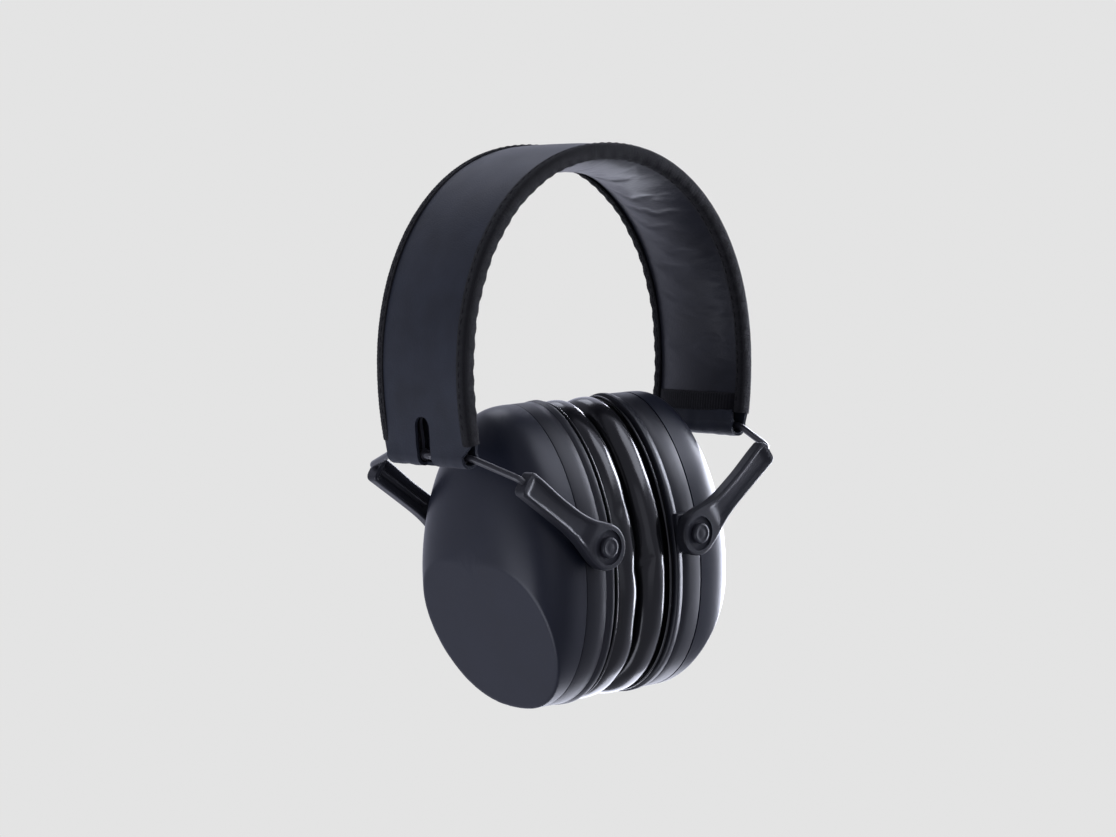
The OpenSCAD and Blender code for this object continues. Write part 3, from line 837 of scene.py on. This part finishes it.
def unit_rows(rows: np.ndarray) -> np.ndarray:
    """Each row at length 1."""
    return rows / np.maximum(np.linalg.norm(rows, axis=1), 1e-9)[:, None]


def face_away(obj: bpy.types.Object, middle: np.ndarray, flip: bool = False, edge: int = 0) -> None:
    """Turns an open sheet so that its faces look away from a middle, or toward it.

    Args:
        obj: The sheet.
        middle: The middle, in millimetres.
        flip: Whether the faces look toward the middle instead.
        edge: If not 0, the sign of Y that the sheet's folded edge looks to.
    """
    mesh = obj.data
    count = len(mesh.polygons)
    normal, centre, area = np.zeros(count * 3), np.zeros(count * 3), np.zeros(count)
    mesh.polygons.foreach_get("normal", normal)
    mesh.polygons.foreach_get("center", centre)
    mesh.polygons.foreach_get("area", area)
    normal, centre = normal.reshape(-1, 3), centre.reshape(-1, 3)
    if edge:
        total = float((normal[:, 1] * area).sum()) * edge
    else:
        total = float((np.einsum("ij,ij->i", normal, centre - middle * MM) * area).sum())
    if (total < 0) != flip:
        mesh.flip_normals()


def prism(name: str, outline: np.ndarray, low: float, high: float, axis: int) -> bpy.types.Object:
    """A flat outline pushed straight through, closed.

    Args:
        name: The piece's name.
        outline: Points across the axis, in millimetres: y, z for axis 0 and x, z for axis 1.
        low: Where it starts.
        high: Where it ends.
        axis: 0 to run along X, 1 to run along Y.

    Returns:
        The closed mesh.
    """
    deselect()
    bpy.ops.mesh.primitive_circle_add(vertices=len(outline), radius=1, fill_type="NGON")
    obj = bpy.context.object
    obj.name = obj.data.name = name
    points = np.insert(outline, axis, low, axis=1)
    put_coords(obj, points * MM)
    bpy.ops.object.mode_set(mode="EDIT")
    bpy.ops.mesh.select_all(action="SELECT")
    way = [0.0, 0.0, 0.0]
    way[axis] = (high - low) * MM
    bpy.ops.mesh.extrude_region_move(TRANSFORM_OT_translate={"value": tuple(way)})
    bpy.ops.mesh.select_all(action="SELECT")
    bpy.ops.mesh.normals_make_consistent(inside=False)
    bpy.ops.object.mode_set(mode="OBJECT")
    return obj


# ---- yoke ----
@dataclass
class Yoke:
    """One bent wire with its two arms and their pins."""

    side: Side
    wire_radius: float = 1.1
    hinge_x: float = 59.0
    hinge_z: float = -85.9
    exit_y: float = 18.6
    wire_y: float = 35.3
    bend_x: float = 54.6
    bend_z: float = -91.6
    pin_x: float = 20.2
    pin_z: float = -116.1
    leg_length: float = 26.0
    kink: float = 1.5
    arm_y0: float = 33.2
    arm_thick: float = 4.2
    eye_radius: float = 7.2
    recess_radius: float = 5.5
    recess_depth: float = 0.8
    head_radius: float = 3.3

    @property
    def leg(self) -> np.ndarray:
        """The way that the leg runs, as x, z on the +X side."""
        way = np.array([self.pin_x - self.bend_x, self.pin_z - self.bend_z])
        return way / np.linalg.norm(way)

    @property
    def arm_length(self) -> float:
        """Distance from the pin to the top of the arm."""
        return float(np.hypot(self.pin_x - self.bend_x, self.pin_z - self.bend_z)) - 1.6

    def build(self) -> None:
        """Builds the wire, both arms and both pins."""
        self._wire()
        for word, sign in (("front", -1), ("rear", 1)):
            self._arm(word, sign)
            self._pin(word, sign)

    def _wire(self) -> None:
        """The wire, bent in one piece, with the kink that shows in the hem's slot."""
        foot = np.array([self.bend_x, self.bend_z]) + self.leg * self.leg_length
        half = [
            [foot[0], self.wire_y, foot[1]], [self.bend_x, self.wire_y, self.bend_z],
            [self.hinge_x, self.exit_y, self.hinge_z], [self.hinge_x, 2.5, self.hinge_z],
            [self.hinge_x + self.kink, 1.5, self.hinge_z],
        ]
        other = [[x, -y, z] for x, y, z in reversed(half)]
        path = round_path(half + other, 2.2, 0.5)
        path[:, 0] *= self.side.value
        wire = sweep(f"{self.side.word}_bent_wire", path, self.wire_radius, 20)
        dress(wire, "wire_steel", f"{self.side.word}_yoke", f"{self.side.word}_yoke_wire")

    def _arm(self, word: str, sign: int) -> None:
        """One tapered arm: ridged outside, open channel inside, round eye at its foot.

        Args:
            word: Front or rear.
            sign: The sign of its Y.
        """
        length, eye, thick, corner = self.arm_length, self.eye_radius, self.arm_thick, 1.5
        foot = -eye * np.cos(np.linspace(0, math.pi / 2, 18))[:-1]
        shank = np.linspace(0, length - corner, 62)
        tip = length - corner + corner * np.sin(np.linspace(0, math.pi / 2, 9))[1:]
        run = np.concatenate([foot, shank, tip, [length, length]])
        upper = 3.5 + 3.7 * np.exp(-((run / 9.0) ** 2)) + 0.6 * smoothstep(24, 38, run)
        lower = 4.2 + 3.0 * np.exp(-((run / 10.0) ** 2))
        circle = np.sqrt(np.clip(eye**2 - run**2, 0, None))
        upper, lower = np.where(run < 0, circle, upper), np.where(run < 0, circle, lower)
        past = np.clip(run - length + corner, 0, corner)
        round_off = corner - np.sqrt(np.clip(corner**2 - past**2, 0, None))
        upper, lower = upper - round_off * 0.9, lower - round_off * 0.9
        upper[-2:] = lower[-2:] = 1.3, 0
        face, wall = 26, 5
        q = -np.cos(np.linspace(0, math.pi, face + 1))
        down = np.linspace(1, 0, wall + 2)[1:-1]
        across = np.concatenate([q, np.ones(wall), -q, -np.ones(wall)])
        level = np.concatenate([np.ones(face + 1), down, np.zeros(face + 1), down[::-1]])
        ring = len(across)
        leg_way = -self.leg
        up_way = np.array([-leg_way[1], leg_way[0]])

        def place(u: np.ndarray, v: np.ndarray) -> np.ndarray:
            """Lofts the arm's section along it."""
            j = np.rint(u * ring).astype(int) % ring
            i = np.rint(v * (len(run) - 1)).astype(int)
            half = (upper[i] + lower[i]) / 2
            high = (upper[i] - lower[i]) / 2 + across[j] * half
            edge = half * (1 - np.abs(across[j]))
            r = 0.7
            ease = r - np.sqrt(np.clip(r * r - (r - np.minimum(edge, r)) ** 2, 0, None))
            shank_share = smoothstep(eye + 0.3, eye + 4.5, run[i])
            shank_share = shank_share * (1 - smoothstep(length - 3.2, length - 1.4, run[i]))
            groove = 0.75 * smoothstep(1.0, 1.9, edge) * shank_share
            channel = 1.7 * smoothstep(0.8, 1.2, edge) * shank_share
            w = np.where(level[j] > 0.999, thick - ease - groove,
                         np.where(level[j] < 0.001, ease + channel, 0.7 + (thick - 1.4) * level[j]))
            point = np.array([self.pin_x, self.pin_z]) + run[i, None] * leg_way + high[:, None] * up_way
            return np.stack([self.side.value * point[:, 0], sign * (self.arm_y0 + w), point[:, 1]], 1)

        arm = wrap_grid(f"{self.side.word}_{word}_arm_blade", ring, len(run) - 1, place, fill=True)
        outer = self.arm_y0 + thick
        cut(arm, rod_y(self.recess_radius, sign * (outer - self.recess_depth), sign * (outer + 3),
                       self.side.value * self.pin_x, self.pin_z, 64))
        finish_with(arm, "BEVEL", width=0.16 * MM, segments=2, limit_method="ANGLE",
                    angle_limit=math.radians(55), use_clamp_overlap=True)
        smooth(arm, 40)
        dress(arm, "arm_plastic", f"{self.side.word}_arms", f"{self.side.word}_{word}_arm")

    def _pin(self, word: str, sign: int) -> None:
        """One pivot pin: a slightly domed round head on a plain shank.

        Args:
            word: Front or rear.
            sign: The sign of its Y.
        """
        base = self.arm_y0 + self.arm_thick - self.recess_depth + 0.1
        outline = [
            [0.0, 26.2], [2.6, 26.2], [2.8, 26.4], [2.8, 27.3], [2.0, 27.4], [2.0, base],
            [self.head_radius - 0.25, base], [self.head_radius, base + 0.25], [self.head_radius, base + 1.15],
            [self.head_radius - 0.15, base + 1.45], [self.head_radius - 0.5, base + 1.6],
            [self.head_radius - 0.9, base + 1.62], [self.head_radius - 1.15, base + 1.5],
            [1.2, base + 1.62], [0.0, base + 1.7],
        ]
        rows = np.array(outline)

        def place(u: np.ndarray, v: np.ndarray) -> np.ndarray:
            """Turns the pin's outline round its axis."""
            i = np.rint(v * (len(rows) - 1)).astype(int)
            turn = u * math.tau
            return np.stack([self.side.value * self.pin_x + rows[i, 0] * np.cos(turn), sign * rows[i, 1],
                             self.pin_z + rows[i, 0] * np.sin(turn)], 1)

        pin = wrap_grid(f"{self.side.word}_{word}_pivot", 56, len(rows) - 1, place)
        smooth(pin, 35)
        dress(pin, "pin_plastic", f"{self.side.word}_cup", f"{self.side.word}_{word}_pin")


# ---- ear cups ----
@dataclass
class Egg:
    """The cup's outline seen from the side, broad at the bottom and drawn out at the top."""

    half_width: float = 32.4
    up: float = 54.2
    down: float = 43.0
    power_up: float = 1.82
    power_down: float = 2.35

    def at(self, u: np.ndarray, inset: np.ndarray | float = 0.0) -> np.ndarray:
        """Points on the outline.

        Args:
            u: Share of the way round, from 0 to 1.
            inset: How far in from the outline, in millimetres.

        Returns:
            Rows of y and height above the widest level.
        """
        def raw(a: np.ndarray) -> np.ndarray:
            """The outline itself at an angle."""
            c, s = np.cos(a), np.sin(a)
            tall = np.where(s > 0, self.up, self.down)
            power = np.where(s > 0, self.power_up, self.power_down)
            r = ((np.abs(c) / self.half_width) ** power + (np.abs(s) / tall) ** power) ** (-1 / power)
            return np.stack([r * c, r * s], 1)

        a = u * math.tau
        way = unit_rows(raw(a + 0.03) - raw(a - 0.03))
        return raw(a) - np.stack([way[:, 1], -way[:, 0]], 1) * np.reshape(inset, (-1, 1))


@dataclass
class EarCup:
    """One cup: dome with its flat facet, rim with two bosses, cushion, piping and sound pad."""

    side: Side
    egg: Egg = field(default_factory=Egg)
    cup_z: float = -127.0
    seam_x: float = 25.3
    rim_x: float = 13.8
    groove_x: float = 12.3
    wall: float = 2.2
    dome_depth: float = 20.6
    dome_power: float = 3.4
    facet_x: float = 43.5
    facet_slope: float = 0.383
    pin_x: float = 20.2
    pin_z: float = -116.1
    boss_radius: float = 6.3
    boss_y: float = 32.9
    contact_x: float = 0.3
    ring_width: float = 14.4
    seed: int = 40

    def build(self) -> None:
        """Builds every piece of the cup."""
        self._dome()
        self._rim()
        self._cushion()
        self._piping()
        self._sound_pad()

    def _outline(self, u: np.ndarray, x: np.ndarray, inset: np.ndarray | float,
                 share: np.ndarray | float = 1.0) -> np.ndarray:
        """Points on the outline at x, drawn in by an inset and then to a share of their size."""
        ring = self.egg.at(u, inset) * np.reshape(share, (-1, 1))
        return np.stack([self.side.value * x, ring[:, 0], self.cup_z + ring[:, 1]], 1)

    def _dome(self) -> None:
        """The shell, with the facet cut across its lower outside and a soft edge to the facet."""
        slope = math.hypot(1, self.facet_slope)
        keen = 260.0

        def place(u: np.ndarray, v: np.ndarray) -> np.ndarray:
            """Lays the grid on the dome and presses it back to the facet."""
            lip = 0.02
            turn = np.clip((v - lip) / (1 - lip), 0, 1) * math.pi / 2
            depth = self.dome_depth * np.sin(turn)
            share = np.clip(1 - np.sin(turn) ** self.dome_power, 0, 1) ** (1 / self.dome_power)
            inset = np.where(v < lip / 2, 0.35, 0.0)
            ring = self.egg.at(u, inset) * share[:, None]
            reach = (depth - self.facet_slope * ring[:, 1]) / slope
            limit = (self.facet_x - self.seam_x) / slope
            push = np.maximum(limit / np.maximum(reach, 1e-6), 0.05)
            soft = -np.log(1 + np.exp(-keen * np.clip(push - 1, -0.9, 3))) / keen + 1
            soft = np.where(push > 1.25, 1.0, soft)
            x = self.seam_x + 0.12 + depth * soft
            return np.stack([self.side.value * x, ring[:, 0] * soft, self.cup_z + ring[:, 1] * soft], 1)

        dome = wrap_grid(f"{self.side.word}_dome", 240, 90, place)
        face_away(dome, np.array([self.side.value * 15.0, 0, self.cup_z]))
        finish_with(dome, "SOLIDIFY", thickness=1.8 * MM, offset=-1.0)
        smooth(dome, 50)
        dress(dome, "cup_plastic", f"{self.side.word}_cup", f"{self.side.word}_cup_shell")

    def _rim(self) -> None:
        """The rim band with two fine lines, a lip at the cushion and a boss under each eye."""
        x_in, x_out = self.rim_x, self.seam_x - 0.12
        outline = np.array([
            [x_out, 0.45], [x_out - 0.18, 0.12], [x_out - 0.5, 0.0], [20.0, -0.02], [17.2, -0.10],
            [17.0, 0.02], [16.8, 0.02], [16.6, -0.15], [x_in + 2.2, -0.2],
            [x_in + 1.9, -0.42], [x_in + 0.6, -0.5], [x_in + 0.2, -0.4], [x_in, -0.1],
            [x_in, self.wall - 0.3],
            [x_in + 0.3, self.wall], [x_out, self.wall],
        ])

        def place(u: np.ndarray, v: np.ndarray) -> np.ndarray:
            """Carries the rim's section round the outline."""
            i = np.rint(v * len(outline)).astype(int) % len(outline)
            return self._outline(u, outline[i, 0], outline[i, 1])

        rim = wrap_grid(f"{self.side.word}_rim_ring", 240, len(outline), place)
        for sign in (-1, 1):
            cut(rim, self._boss(sign), "UNION")
        smooth(rim, 40)
        dress(rim, "rim_plastic", f"{self.side.word}_cup", f"{self.side.word}_cup_rim")

    def _boss(self, sign: int) -> bpy.types.Object:
        """One D-shaped boss that a pin turns in."""
        turn = np.linspace(-math.pi / 2, math.pi / 2, 25)
        nose = np.stack([self.pin_x + self.boss_radius * np.cos(turn) * 0.79,
                         self.pin_z + self.boss_radius * np.sin(turn)], 1)
        back = np.array([[self.rim_x + 0.7, self.pin_z + self.boss_radius],
                         [self.rim_x + 0.7, self.pin_z - self.boss_radius]])
        outline = np.concatenate([nose, back])
        outline[:, 0] *= self.side.value
        boss = prism("cutter", outline, sign * (self.boss_y - 4.6), sign * self.boss_y, axis=1)
        finish_with(boss, "BEVEL", width=0.5 * MM, segments=3, limit_method="ANGLE",
                    angle_limit=math.radians(50))
        return boss

    def _cushion(self) -> None:
        """The soft ring, puffed by simulation, pinned at its back and flattened where the two meet."""
        half, mid_x = self.ring_width / 2, (self.groove_x + self.contact_x) / 2
        deep = (self.groove_x - self.contact_x) / 2
        power = 2.7

        def place(u: np.ndarray, v: np.ndarray) -> np.ndarray:
            """Carries a rounded section round the outline."""
            a = v * math.tau
            c, s = np.cos(a), np.sin(a)
            r = (np.abs(c) ** power + np.abs(s) ** power) ** (-1 / power)
            inset = half - 0.1 + (half - 0.35) * r * c
            x = mid_x + (deep - 0.2) * r * s
            base = self._outline(u, x, inset)
            front = smoothstep(self.groove_x - 1, self.groove_x - 5, x)
            bump = (0.26 * ripple(base, 21, self.seed) + 0.05 * ripple(base, 8.0, self.seed + 1)) * front
            return self._outline(u, x + bump * 0.8 * s, inset + bump * c)

        ring = wrap_grid(f"{self.side.word}_ear_cushion", 230, 30, place)
        turn_ring_out(ring, self, mid_x)
        points = coords(ring) / MM
        held = (np.abs(points[:, 0]) > self.groove_x - 1.3).astype(float)
        inflate(ring, held, pressure=6.0, cap=1.0, slack=0.004)
        points = coords(ring) / MM
        away = points[:, 0] * self.side.value
        flat = self.contact_x
        eased = np.where(away < flat + 0.9, flat + 0.9 * np.exp((away - flat - 0.9) / 0.9), away)
        points[:, 0] = np.clip(eased, flat, self.groove_x - 0.02) * self.side.value
        put_coords(ring, points * MM)
        finish_with(ring, "SUBSURF", levels=1, render_levels=1)
        smooth(ring, 180)
        dress(ring, "cushion_skin", f"{self.side.word}_cup",
              f"{self.side.word}_cushion_cover", f"{self.side.word}_cushion_foam")
        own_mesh(ring)

    def _piping(self) -> None:
        """The welded edge of the cushion, a thin raised line beside the groove."""
        u = np.linspace(0, 1, 241)[:-1]
        path = self._outline(u, np.full(240, self.groove_x - 0.5), 0.55)
        bead = sweep(f"{self.side.word}_cushion_weld", path, 0.42, 10, closed=True)
        dress(bead, "cushion_skin", f"{self.side.word}_cup")

    def _sound_pad(self) -> None:
        """The foam that lines the cup, crowned toward the ear and pitted all over."""
        face_x, back_x = 18.8, 24.2

        def place(u: np.ndarray, v: np.ndarray) -> np.ndarray:
            """Lays the grid over the foam's face, round its edge and over its back."""
            front = np.clip(v / 0.6, 0, 1)
            wall = smoothstep(0.6, 0.8, v)
            back = np.clip((v - 0.8) / 0.2, 0, 1)
            share = np.where(v <= 0.6, front, np.where(v < 0.8, 1.0, 1 - back))
            x = np.where(v <= 0.6, face_x + 1.6 * front**5, face_x + 1.6 + (back_x - face_x - 1.6) * wall)
            base = self._outline(u, x, 3.4, share)
            pit = 0.35 * ripple(base, 5.0, 71) + 0.18 * ripple(base, 2.4, 72)
            base[:, 0] -= self.side.value * pit * (v <= 0.62) * (1 - front**8)
            inside = np.abs(base[:, 1]) > 25.5
            near = np.abs(base[:, 2] - self.pin_z) < 9
            base[:, 1] = np.where(inside & near, np.sign(base[:, 1]) * 25.5, base[:, 1])
            return base

        pad = wrap_grid(f"{self.side.word}_sound_pad", 150, 60, place)
        face_away(pad, np.array([self.side.value * 24.0, 0, self.cup_z]))
        smooth(pad, 60)
        dress(pad, "sound_foam", f"{self.side.word}_cup", f"{self.side.word}_sound_foam")


def turn_ring_out(obj: bpy.types.Object, cup: EarCup, mid_x: float) -> None:
    """Turns a ring's faces away from the line through its section.

    Args:
        obj: The ring.
        cup: The cup that it belongs to.
        mid_x: The section's middle, in millimetres.
    """
    mesh = obj.data
    normal, centre = np.zeros(len(mesh.polygons) * 3), np.zeros(len(mesh.polygons) * 3)
    mesh.polygons.foreach_get("normal", normal)
    mesh.polygons.foreach_get("center", centre)
    away = centre.reshape(-1, 3)[:, 0] / MM - cup.side.value * mid_x
    if float((normal.reshape(-1, 3)[:, 0] * away).sum()) < 0:
        mesh.flip_normals()


# ---- studio ----
@dataclass
class Studio:
    """The camera, the lights, the pale surroundings and the floor."""

    heading: float = 42.69
    pitch: float = 5.41
    roll: float = -1.57
    distance: float = 940.4
    shift: float = -4.22
    aim_z: float = -79.5
    lens: float = 94.0
    backdrop: float = 0.775
    dim: float = 0.27
    bright: float = 0.95

    def build(self) -> None:
        """Sets up the whole studio."""
        self._camera()
        self._world()
        self._floor()
        self._light("key", (420, -420, 420), (-20, 0, -90), 420, 1.2)
        self._light("left_low", (-640, 60, -420), (-60, 0, -140), 600, 2.4)
        self._light("front_fill", (-300, -900, 60), (0, 0, -90), 700, 0.35)
        self._light("right_back", (850, 110, -60), (0, 0, -110), 760, 25.0)
        self._light("low_back", (330, 260, -520), (0, 0, -110), 420, 1.3)
        self._light("top", (160, 330, 520), (0, 0, -110), 360, 0.9)

    def _axes(self) -> tuple[Vector, Vector, Vector]:
        """The camera's right, up and back."""
        h, p, q = (math.radians(a) for a in (self.heading, self.pitch, self.roll))
        back = Vector((-math.sin(h) * math.cos(p), -math.cos(h) * math.cos(p), math.sin(p)))
        right = Vector((math.cos(h), -math.sin(h), 0))
        up = back.cross(right)
        return (math.cos(q) * right + math.sin(q) * up, math.cos(q) * up - math.sin(q) * right, back)

    def _camera(self) -> None:
        """Adds the camera and makes it the scene's."""
        right, up, back = self._axes()
        place = Vector((0, 0, self.aim_z)) + right * self.shift + back * self.distance
        deselect()
        bpy.ops.object.camera_add()
        camera = bpy.context.object
        camera.name = "camera"
        camera.data.lens = self.lens
        camera.data.sensor_width = 36
        camera.data.sensor_fit = "HORIZONTAL"
        camera.data.clip_start, camera.data.clip_end = 0.05, 50
        turn = Matrix((right, up, back)).transposed().to_4x4()
        camera.matrix_world = Matrix.Translation(place * MM) @ turn
        bpy.context.scene.camera = camera

    def _world(self) -> None:
        """Even pale surroundings, dimmer in what they lend to the object."""
        world = bpy.data.worlds.new("studio")
        bpy.context.scene.world = world
        world.use_nodes = True
        tree = world.node_tree
        tree.nodes.clear()
        out = tree.nodes.new("ShaderNodeOutputWorld")
        seen, lent = (tree.nodes.new("ShaderNodeBackground") for _ in range(2))
        seen.inputs["Color"].default_value = (self.backdrop, self.backdrop, self.backdrop, 1)
        lent.inputs["Color"].default_value = (0.80, 0.82, 1.0, 1)
        way = Vector((math.sin(math.radians(self.heading)), math.cos(math.radians(self.heading)), 0))
        facing = tree.nodes.new("ShaderNodeVectorMath")
        facing.operation = "DOT_PRODUCT"
        facing.inputs[1].default_value = way
        around = tree.nodes.new("ShaderNodeTexCoord")
        tree.links.new(around.outputs["Generated"], facing.inputs[0])
        reach = tree.nodes.new("ShaderNodeMapRange")
        reach.inputs["From Min"].default_value = -0.1
        reach.inputs["To Min"].default_value = self.dim
        reach.inputs["To Max"].default_value = self.bright
        tree.links.new(facing.outputs["Value"], reach.inputs["Value"])
        tree.links.new(reach.outputs["Result"], lent.inputs["Strength"])
        mix, path = tree.nodes.new("ShaderNodeMixShader"), tree.nodes.new("ShaderNodeLightPath")
        tree.links.new(path.outputs["Is Camera Ray"], mix.inputs[0])
        tree.links.new(lent.outputs[0], mix.inputs[1])
        tree.links.new(seen.outputs[0], mix.inputs[2])
        tree.links.new(mix.outputs[0], out.inputs["Surface"])
        bpy.context.scene.view_settings.view_transform = "Standard"

    def _floor(self) -> None:
        """A wide pale floor, well below the earmuff, which hangs in the air as it is shown."""
        deselect()
        bpy.ops.mesh.primitive_grid_add(x_subdivisions=8, y_subdivisions=8, size=60, location=(0, 0, -0.60))
        floor = bpy.context.object
        floor.name = "floor"
        mat = bpy.data.materials.new("pale_floor")
        mat.use_nodes = True
        shader = mat.node_tree.nodes["Principled BSDF"]
        shader.inputs["Base Color"].default_value = (0.0, 0.0, 0.0, 1)
        shader.inputs["Roughness"].default_value = 1.0
        shader.inputs["Specular IOR Level"].default_value = 0.0
        shader.inputs["Emission Color"].default_value = (self.backdrop, self.backdrop, self.backdrop, 1)
        shader.inputs["Emission Strength"].default_value = 1.0
        floor.data.materials.append(mat)
        floor.visible_diffuse = False
        floor.visible_glossy = False

    def _light(self, name: str, place: tuple[float, float, float], aim: tuple[float, float, float],
               size: float, power: float) -> None:
        """A square soft light.

        Args:
            name: Its name.
            place: Where it stands, in millimetres.
            aim: What it looks at, in millimetres.
            size: Its side, in millimetres.
            power: Its power in watts.
        """
        deselect()
        bpy.ops.object.light_add(type="AREA", location=Vector(place) * MM)
        light = bpy.context.object
        light.name = name
        light.data.shape = "SQUARE"
        light.data.size = size * MM
        light.data.energy = power
        light.data.color = (0.84, 0.87, 1.0)
        way = (Vector(aim) - Vector(place)).normalized()
        light.rotation_euler = way.to_track_quat("-Z", "Y").to_euler()


def dress_frame(frame: dict) -> None:
    """Gives the CAD nodes that stay in view their materials.
    """
    slots = {part["node"]: part["material_slot"] for part in frame["record"]["subparts"]}
    for name, obj in frame["nodes"].items():
        material = FINISHES[slots[name]].material()
        if not obj.material_slots:
            obj.data.materials.append(material)
        for slot in obj.material_slots:
            slot.material = material


def main() -> None:
    """Builds the earmuff and its studio."""
    logging.basicConfig(level=logging.INFO, format="%(message)s", force=True)
    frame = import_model()
    dress_frame(frame)
    Studio().build()
    Headband().build()
    for side in Side:
        Yoke(side).build()
        EarCup(side, seed=40 if side is Side.LEFT else 60).build()


if __name__ == "__main__":
    main()
